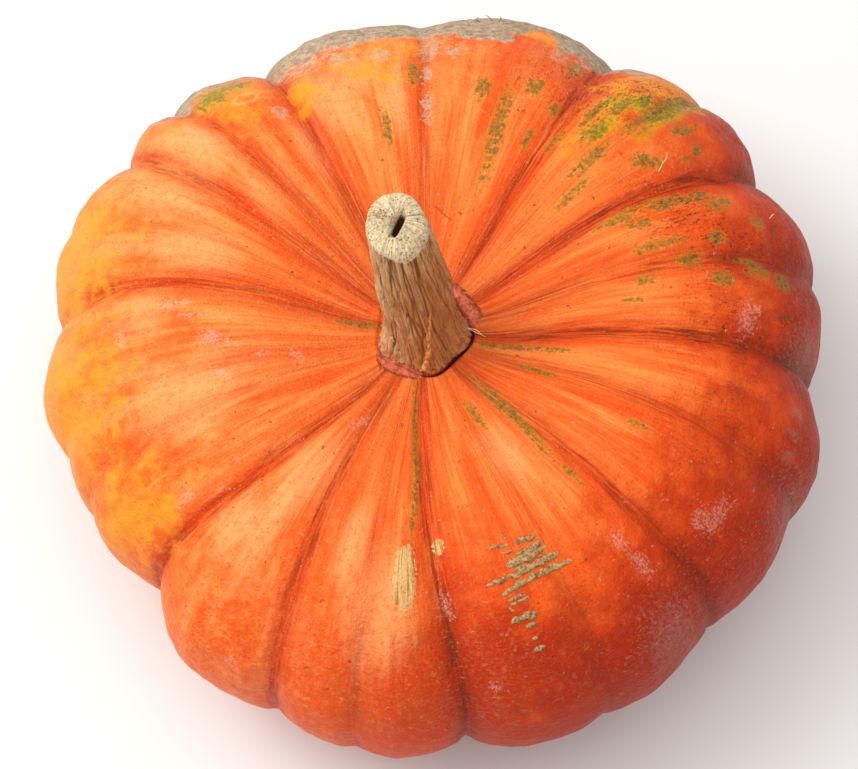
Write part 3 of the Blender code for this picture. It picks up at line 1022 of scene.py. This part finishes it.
def build_stalk():
    """The dried stalk with its fibres, corky cut end and pith slit."""
    azimuths = np.arange(STALK_MERIDIANS) * 360.0 / STALK_MERIDIANS
    azimuth, way = np.meshgrid(azimuths, np.linspace(0.004, 0.996, STALK_RINGS))
    side_way = np.clip((way - FOOT_EDGE) / (CUT_EDGE - FOOT_EDGE), 0.0, 1.0)
    cut_way = np.clip((way - CUT_EDGE) / (1.0 - CUT_EDGE), 0.0, 1.0)
    height = side_way * (STALK_LENGTH - CUT_ROUND)

    angle = np.radians(azimuth + FIBRE_TWIST * np.sin(side_way * 2.2))
    rings = np.stack([np.cos(angle), np.sin(angle), height * 12.0], -1)
    sways = [fractal(rings * 2.2 + 40.0, 2), fractal(rings * 2.2 + 60.0, 2), np.zeros_like(way)]
    wavy = rings + FIBRE_SWAY * np.stack(sways, -1)
    broad = grooves(wavy, (3.0, 3.0, 0.9), 5.0, 0.12)
    strand = grooves(wavy, (7.5, 7.5, 1.9), 9.0, 0.13)
    fibre = grooves(wavy, (16.0, 16.0, 3.6), 2.0, 0.16)
    dent = fractal(rings * np.array([1.3, 1.3, 2.8]) + 1.0, 2)
    cork = eased((side_way - CORK_FROM + 0.03 * dent) / CORK_OVER)

    fibrous = BROAD_GROOVE * broad + STRAND_GROOVE * strand + FIBRE_GROOVE * fibre - DENT_DEPTH * dent
    radius = stalk_radius(azimuth, way, side_way, cut_way, height, fibrous * (1.0 - cork))
    x = radius * np.cos(np.radians(azimuth))
    y = radius * np.sin(np.radians(azimuth))
    height = height + CUT_ROUND * np.sin(np.radians(90.0 * cut_way)) ** 0.8
    height = height + CUT_SLOPE * y * eased(side_way)
    slit = np.where(cut_way > 0.0, slit_depth(x, y), 0.0)
    height = height + cut_relief(x, y, height, cut_way, slit)

    points, low_pole = stalk_points(x, y, height, side_way)
    stalk = closed_grid("dried_stalk", points, low_pole, points[-1].mean(axis=0))
    hollow = np.maximum(np.maximum(broad, 0.8 * strand), 0.5 * fibre)
    shade = 0.5 + 0.5 * np.cos(np.radians(azimuth - SHADE_AZIMUTH)) + 0.3 * dent
    fields = {"cork": cork, "hollow": hollow, "shade": shade, "slit": slit / SLIT_DEPTH, "up": side_way}
    write_fields(stalk, fields)
    strands = np.stack([np.cos(angle), np.sin(angle), side_way], -1)
    write_vectors(stalk, "strands", strands, [[0.0, 0.0, 0.0], [0.0, 0.0, 1.0]])
    stalk.data.materials.append(stalk_material())
    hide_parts("stem")
    return stalk


# Colours of the stalk
STRAW = srgb(255, 224, 168)
STRAW_BROWN = srgb(250, 188, 116)
BARK_BROWN = srgb(204, 124, 56)
# Dark bark brown, also used for painted shade in the grooves and in the pith's slit
BARK_DARK = srgb(84, 46, 20)
CORK_CREAM = srgb(255, 236, 194)
CORK_TAN = srgb(240, 196, 136)


def shaft_colour(g, thread, hair, patch):
    """Straw-coloured fibres, with painted shade in the grooves and on the shaded side, and brown at the lumpy
    foot.
    """
    colour = g.blend(thread.rise(0.40, 0.60), STRAW_BROWN, STRAW)
    colour = colour.covered(BARK_BROWN, patch.rise(0.48, 0.64) * 0.45)
    colour = colour.covered(BARK_BROWN, hair.rise(0.46, 0.34) * 0.4)
    colour = colour.covered(CORK_CREAM, hair.rise(0.54, 0.64) * 0.55)
    colour = colour.covered(CORK_CREAM, abs(thread - 0.5).rise(0.018, 0.004) * 0.5)
    # Painted shade: dark brown in the grooves between the fibres
    hollow = g.field("hollow") + (hair - 0.5) * 0.9
    colour = colour.covered(BARK_DARK, hollow.rise(0.45, 0.95) * 0.75)
    up = g.field("up")
    shade = g.field("shade").rise(0.35, 0.85) * up.rise(1.0, 0.7)
    colour = colour.covered(BARK_BROWN, shade * 0.45)
    foot = (up + patch * 0.14).rise(0.17, 0.09)
    lumps = g.blend(g.noise(g.place, 330.0, 3.0, 0.6).rise(0.42, 0.56), BARK_BROWN, CORK_TAN)
    colour = colour.covered(lumps, foot * 0.75)
    return colour.covered(BARK_BROWN, shade * 0.5)


def cut_colour(g, grain, patch):
    """Cream cork with tan grain and dark pores, browner at its rim."""
    colour = g.blend(grain.rise(0.34, 0.56), CORK_TAN, CORK_CREAM)
    low = (g.field("cork") + (patch - 0.5) * 1.2).rise(1.15, 0.6)
    colour = colour.covered(BARK_BROWN, low * grain.rise(0.56, 0.40) * 0.7)
    cells = g.node("TexVoronoi", {"Vector": g.place, "Scale": 640.0}, "Distance")
    pores = cells.rise(0.32, 0.16) * g.noise(g.place, 300.0, 2.0).rise(0.45, 0.55)
    return colour.covered(BARK_DARK, pores * 0.75)


def stalk_material():
    """Dry fibres of straw and brown, and the pale cork of the cut end with dark pores."""
    g = Graph("dried_stalk", "strands")
    thread = g.lined(19.0, 4.2, 4.0, 0.65, 1.0)
    hair = g.lined(60.0, 9.0, 3.0, 0.6, 0.8)
    patch = g.noise(g.place, 75.0, 3.0, 0.5)
    grain = g.noise(g.place, 800.0, 4.0, 0.7)
    cork = (g.field("cork") + (patch - 0.5) * 0.8).rise(0.3, 0.7)
    colour = shaft_colour(g, thread, hair, patch).covered(cut_colour(g, grain, patch), cork)
    # Painted shade: dark brown down in the pith's slit
    colour = colour.covered(BARK_DARK, g.field("slit").rise(0.25, 0.6))
    normal = g.bump(thread, 0.0010)
    normal = g.bump(hair, 0.0007, normal)
    return g.finish(colour, 0.82, g.bump(grain, 0.0005, normal), 0.25)


def tube_mesh(rings):
    """Vertices and faces of a closed tube through rings of points, with a fan on each end."""
    count, sides = rings.shape[:2]
    vertices = rings.reshape(-1, 3).tolist()
    faces = []
    for ring in range(count - 1):
        for side in range(sides):
            a = ring * sides + side
            b = ring * sides + (side + 1) % sides
            faces.append((a, b, b + sides, a + sides))
    faces.append(tuple(range(sides - 1, -1, -1)))
    faces.append(tuple(range((count - 1) * sides, count * sides)))
    return vertices, faces


def joined_tubes(name, tubes, material):
    """One piece from several closed tubes."""
    vertices = []
    faces = []
    for rings in tubes:
        more, corners = tube_mesh(rings)
        start = len(vertices)
        vertices += more
        faces += [tuple(start + corner for corner in face) for face in corners]
    mesh = bpy.data.meshes.new(name)
    mesh.from_pydata(vertices, [], faces)
    mesh.shade_smooth()
    mesh.materials.append(material)
    piece = bpy.data.objects.new(name, mesh)
    bpy.context.scene.collection.objects.link(piece)
    return piece


def tree_of(piece):
    """A search tree of a piece's faces."""
    vertices = [vertex.co.copy() for vertex in piece.data.vertices]
    return BVHTree.FromPolygons(vertices, [tuple(face.vertices) for face in piece.data.polygons])


# Strips and threads are cast onto the surface under them from this far off
STRIP_CAST = 0.020
THREAD_CAST = 0.010


def lying_strip(tree, path, directions, widths, heights, sides=12, sunk=0.0006):
    """Rings of a low ridge that lies along a path on a surface. Each point is cast onto it its own way."""
    hits = []
    for point, direction in zip(path, directions):
        hit, normal, _, _ = tree.ray_cast(Vector(point) - Vector(direction) * STRIP_CAST, Vector(direction))
        hits.append((hit, normal))
    rings = []
    for number, (hit, normal) in enumerate(hits):
        before = hits[max(number - 1, 0)][0]
        after = hits[min(number + 1, len(hits) - 1)][0]
        along = (after - before).normalized()
        side = normal.cross(along).normalized()
        ring = []
        for step in range(sides):
            angle = 2.0 * math.pi * step / sides
            rise = math.sin(angle)
            lift = heights[number] * rise if rise > 0.0 else sunk * rise
            ring.append(hit + side * (widths[number] * math.cos(angle)) + normal * lift)
        rings.append(ring)
    return np.array(rings)


SCAR_STATIONS = 30
SCAR_HEIGHT = 0.0011
SCAR_LEAST_WIDTH = 0.00005
SCAR_LEAST_HEIGHT = 0.00003
# Scars with at least this half width, in millimetres, stand at their full height
SCAR_FULL_WIDTH = 1.4


def build_scars(tree):
    """Corky scars that stand on the front rib, in rows across it."""
    tubes = []
    for number, scar in enumerate(SCARS):
        middle, along, across = skin_frame(scar.azimuth, scar.latitude)
        turn = math.radians(scar.turn)
        main = along * math.cos(turn) - across * math.sin(turn)
        cross = across * math.cos(turn) + along * math.sin(turn)
        inwards = np.cross(along, across)
        path = []
        widths = []
        heights = []
        for step in range(SCAR_STATIONS):
            u = 2.0 * step / (SCAR_STATIONS - 1) - 1.0
            place = Vector((u * scar.half_length * 0.35, number * 7.3, 0.0))
            sway = noise.noise(place * 1.3) * scar.half_width * 0.9
            swell = math.sqrt(max(1.0 - u * u, 0.0))
            rough = 0.85 + 0.7 * noise.noise(place * 1.2) + 0.25 * noise.noise(place * 4.5)
            sway += scar.half_length * 0.07 * (1.0 - u * u) * math.cos(number * 2.1)
            path.append(middle + (main * u * scar.half_length + cross * sway) / 1000.0)
            rough = max(rough, 0.15)
            full = min(scar.half_width / SCAR_FULL_WIDTH, 1.0)
            widths.append(SCAR_LEAST_WIDTH + swell**0.7 * rough * scar.half_width / 1000.0)
            heights.append(SCAR_LEAST_HEIGHT + swell * rough * SCAR_HEIGHT * full)
        tubes.append(lying_strip(tree, path, [inwards] * SCAR_STATIONS, widths, heights))
    scars = joined_tubes("corky_scars", tubes, scar_material())
    return scars


# Colours of the scars
SCAR_BROWN = srgb(126, 92, 54)
SCAR_TAN = srgb(194, 158, 104)
SCAR_CRACK = srgb(100, 72, 42)


def scar_material():
    """Grey-tan cork, darker in its cracks."""
    g = Graph("corky_scar")
    grain = g.noise(g.place, 900.0, 4.0, 0.7)
    patch = g.noise(g.place, 260.0, 3.0, 0.6)
    colour = g.blend(grain.rise(0.34, 0.62), SCAR_BROWN, SCAR_TAN)
    colour = colour.covered(SCAR_CRACK, patch.rise(0.52, 0.66) * 0.7)
    return g.finish(colour, 0.85, g.bump(patch, 0.0008, g.bump(grain, 0.0006)), 0.2)


# The fibre strap down the stalk's front: azimuth and height in millimetres
STRAP = ((301.0, 42.0), (296.0, 36.0), (288.0, 26.0), (283.0, 15.0), (274.0, 5.0), (268.0, 0.6))
STRAP_HALF_WIDTH = 0.0014
STRAP_HEIGHT = 0.0009
# Loose threads on the skin: azimuth, latitude and height in millimetres over it
PALE_THREADS = (
    ((36.0, 47.5, 0.3), (34.8, 48.9, 1.2), (34.2, 50.1, 0.9), (33.0, 51.5, 0.3)),
    ((21.0, 28.0, 0.2), (20.6, 29.5, 0.9), (20.0, 31.0, 0.2)),
    ((6.0, 85.9, 1.6), (1.0, 84.8, 2.8), (356.0, 83.3, 1.2)),
    ((5.0, 85.6, 1.2), (2.0, 84.6, 1.9), (359.0, 83.8, 0.4)),
)
DARK_THREADS = (
    ((86.0, 74.5, 0.2), (83.0, 75.3, 1.4), (80.5, 75.9, 1.6), (76.5, 76.5, 0.3)),
    ((79.0, 27.0, -0.2), (79.5, 28.0, 2.0), (80.2, 27.5, 3.2)),
    ((78.2, 27.5, -0.2), (77.6, 28.5, 1.6), (77.9, 28.0, 2.8)),
    ((80.6, 28.0, -0.2), (81.4, 28.8, 1.2), (81.2, 28.4, 2.4)),
    ((77.0, 29.0, -0.2), (76.0, 29.6, 1.0), (75.4, 29.2, 1.6)),
)
THREAD_RADIUS = 0.00019
# Light and dark colour of each kind of thread
PALE_THREAD_COLOURS = (srgb(250, 226, 180), srgb(226, 190, 136))
DARK_THREAD_COLOURS = (srgb(170, 112, 66), srgb(120, 72, 38))


def smooth_path(points, steps=6):
    """Points of a smooth curve through the given ones."""
    points = [2.0 * points[0] - points[1], *points, 2.0 * points[-1] - points[-2]]
    path = []
    for a, b, c, d in zip(points, points[1:], points[2:], points[3:]):
        for step in range(steps):
            t = step / steps
            bend = (2.0 * a - 5.0 * b + 4.0 * c - d) * t * t + (3.0 * b - a - 3.0 * c + d) * t**3
            path.append(0.5 * (2.0 * b + (c - a) * t + bend))
    path.append(points[-2])
    return path


def on_skin(tree, azimuth, latitude, lift):
    """A place over the fine skin, lifted by millimetres."""
    middle, along, across = skin_frame(azimuth, latitude)
    outwards = Vector(np.cross(across, along))
    hit, _, _, _ = tree.ray_cast(Vector(middle) + outwards * THREAD_CAST, -outwards)
    return np.array(hit + outwards * lift / 1000.0)


def free_tube(path, radius, sides=6):
    """Rings of a thin round thread along a path, finer at its ends."""
    rings = []
    for number, point in enumerate(path):
        before = path[max(number - 1, 0)]
        after = path[min(number + 1, len(path) - 1)]
        along = Vector(after - before).normalized()
        side = along.cross(Vector((0.0, 0.2, 1.0))).normalized()
        other = along.cross(side)
        share = number / (len(path) - 1)
        size = radius * (0.35 + 0.65 * math.sin(math.pi * share) ** 0.5)
        turns = [2.0 * math.pi * step / sides for step in range(sides)]
        rings.append([Vector(point) + (side * math.cos(a) + other * math.sin(a)) * size for a in turns])
    return np.array(rings)


def build_strap(tree):
    """A strap of fibre that came loose and lies down the stalk's front."""
    stations = smooth_path([np.array(station) for station in STRAP], 10)
    path = []
    directions = []
    widths = []
    heights = []
    for number, (azimuth, height) in enumerate(stations):
        outwards = np.array([math.cos(math.radians(azimuth)), math.sin(math.radians(azimuth)), 0.0])
        height = height / 1000.0
        base = np.array([AXIS_X - STALK_LEAN * height, AXIS_Y, RING_HEIGHT + SEAT + GAP + height])
        share = number / (len(stations) - 1)
        swell = math.sin(math.pi * min(share * 1.6 + 0.05, 0.6)) * (0.7 + 0.4 * share)
        path.append(base + outwards * 0.008)
        directions.append(-outwards)
        widths.append(STRAP_HALF_WIDTH * swell)
        heights.append(STRAP_HEIGHT * swell)
    rings = lying_strip(tree, path, directions, widths, heights)
    strap = joined_tubes("fibre_strap", [rings], strap_material())
    return strap


def build_threads(name, tree, threads, light, dark):
    """Loose threads as one piece."""
    tubes = []
    for thread in threads:
        places = [on_skin(tree, *station) for station in thread]
        tubes.append(free_tube(smooth_path(places), THREAD_RADIUS))
    piece = joined_tubes(name, tubes, thread_material(name, light, dark))
    return piece


# Colours of the strap
STRAP_BROWN = srgb(196, 122, 58)
STRAP_TAN = srgb(238, 176, 98)


def strap_material():
    """Orange-tan fibre with fine grooves along it."""
    g = Graph("fibre_strap")
    grain = g.noise(g.stretched(g.place, (1.0, 1.0, 0.25)), 900.0, 3.0, 0.6)
    colour = g.blend(grain.rise(0.36, 0.62), STRAP_BROWN, STRAP_TAN)
    return g.finish(colour, 0.7, g.bump(grain, 0.0005), 0.3)


def thread_material(name, light, dark):
    """Dry thread, uneven in colour."""
    g = Graph(name)
    grain = g.noise(g.place, 1200.0, 2.0)
    return g.finish(g.blend(grain.rise(0.4, 0.6), dark, light), 0.75, g.bump(grain, 0.0002), 0.3)


def add_camera():
    """The camera at the photo's place: it looks down on the fruit's middle, which is a little off centre."""
    elevation = math.radians(VIEW_ELEVATION)
    back = Vector((0.0, -math.cos(elevation), math.sin(elevation)))
    up = Vector((0.0, math.sin(elevation), math.cos(elevation)))
    right = Vector((1.0, 0.0, 0.0))
    middle = Vector((AXIS_X, AXIS_Y, RING_HEIGHT))
    aim = middle + (right * AXIS_LEFT - up * AXIS_ABOVE) / PIXELS_PER_METRE
    data = bpy.data.cameras.new("camera")
    data.sensor_width = SENSOR_WIDTH
    data.lens = VIEW_DISTANCE * PIXELS_PER_METRE / PHOTO_WIDTH * SENSOR_WIDTH
    camera = bpy.data.objects.new("camera", data)
    turn = Matrix((right, up, back)).transposed().to_4x4()
    camera.matrix_world = Matrix.Translation(aim + back * VIEW_DISTANCE) @ turn
    bpy.context.scene.collection.objects.link(camera)
    bpy.context.scene.camera = camera


# Soft square lights, all aimed at the fruit
Light = collections.namedtuple("Light", "name place size power colour")
LIGHTS = (
    Light("key", (-1.3, 0.35, 1.65), 1.3, 29.0, (1.0, 0.99, 0.97)),
    Light("overhead", (-0.1, -0.2, 1.9), 1.6, 14.0, (1.0, 0.99, 0.98)),
)
LIGHT_TARGET = (0.0, 0.0, 0.08)
SURROUNDINGS = (1.0, 0.985, 0.975, 1.0)
SURROUNDINGS_STRENGTH = 0.66
FLOOR_HALF_WIDTH = 3.0
FLOOR_SUNK = 0.0002
FLOOR_GREY = srgb(227, 226, 225)
FLOOR_WHITE = srgb(231, 230, 229)


def add_lights():
    """The soft lights and the pale surroundings."""
    for light in LIGHTS:
        data = bpy.data.lights.new(light.name, "AREA")
        data.size = light.size
        data.energy = light.power
        data.color = light.colour
        lamp = bpy.data.objects.new(light.name, data)
        lamp.location = light.place
        aim = Vector(LIGHT_TARGET) - Vector(light.place)
        lamp.rotation_euler = aim.to_track_quat("-Z", "Y").to_euler()
        bpy.context.scene.collection.objects.link(lamp)
    world = bpy.data.worlds.new("studio")
    world.use_nodes = True
    background = world.node_tree.nodes["Background"]
    background.inputs["Color"].default_value = SURROUNDINGS
    background.inputs["Strength"].default_value = SURROUNDINGS_STRENGTH
    bpy.context.scene.world = world
    bpy.context.scene.view_settings.view_transform = "Standard"


def add_floor():
    """The pale floor, a hair below the fruit's resting plane."""
    mesh = bpy.data.meshes.new("floor")
    half = FLOOR_HALF_WIDTH
    corners = [(-half, -half, 0.0), (half, -half, 0.0), (half, half, 0.0), (-half, half, 0.0)]
    mesh.from_pydata(corners, [], [(0, 1, 2, 3)])
    g = Graph("floor")
    dust = g.noise(g.place, 3.0, 2.0)
    white = g.blend(dust, FLOOR_GREY, FLOOR_WHITE)
    mesh.materials.append(g.finish(white, 0.6, g.bump(dust, 0.0001), 0.2))
    floor = bpy.data.objects.new("floor", mesh)
    floor.location.z = -FLOOR_SUNK
    bpy.context.scene.collection.objects.link(floor)


def main():
    """Builds all pieces on the one body, then the studio."""
    add_camera()
    skin = build_skin()
    tree = tree_of(skin)
    stalk = build_stalk()
    scars = build_scars(tree)
    strap = build_strap(tree_of(stalk))
    pale = build_threads("pale_threads", tree, PALE_THREADS, *PALE_THREAD_COLOURS)
    dark = build_threads("dark_threads", tree, DARK_THREADS, *DARK_THREAD_COLOURS)
    for piece in (skin, stalk, scars, strap, pale, dark):
        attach(piece, "root")
    add_floor()
    add_lights()


main()
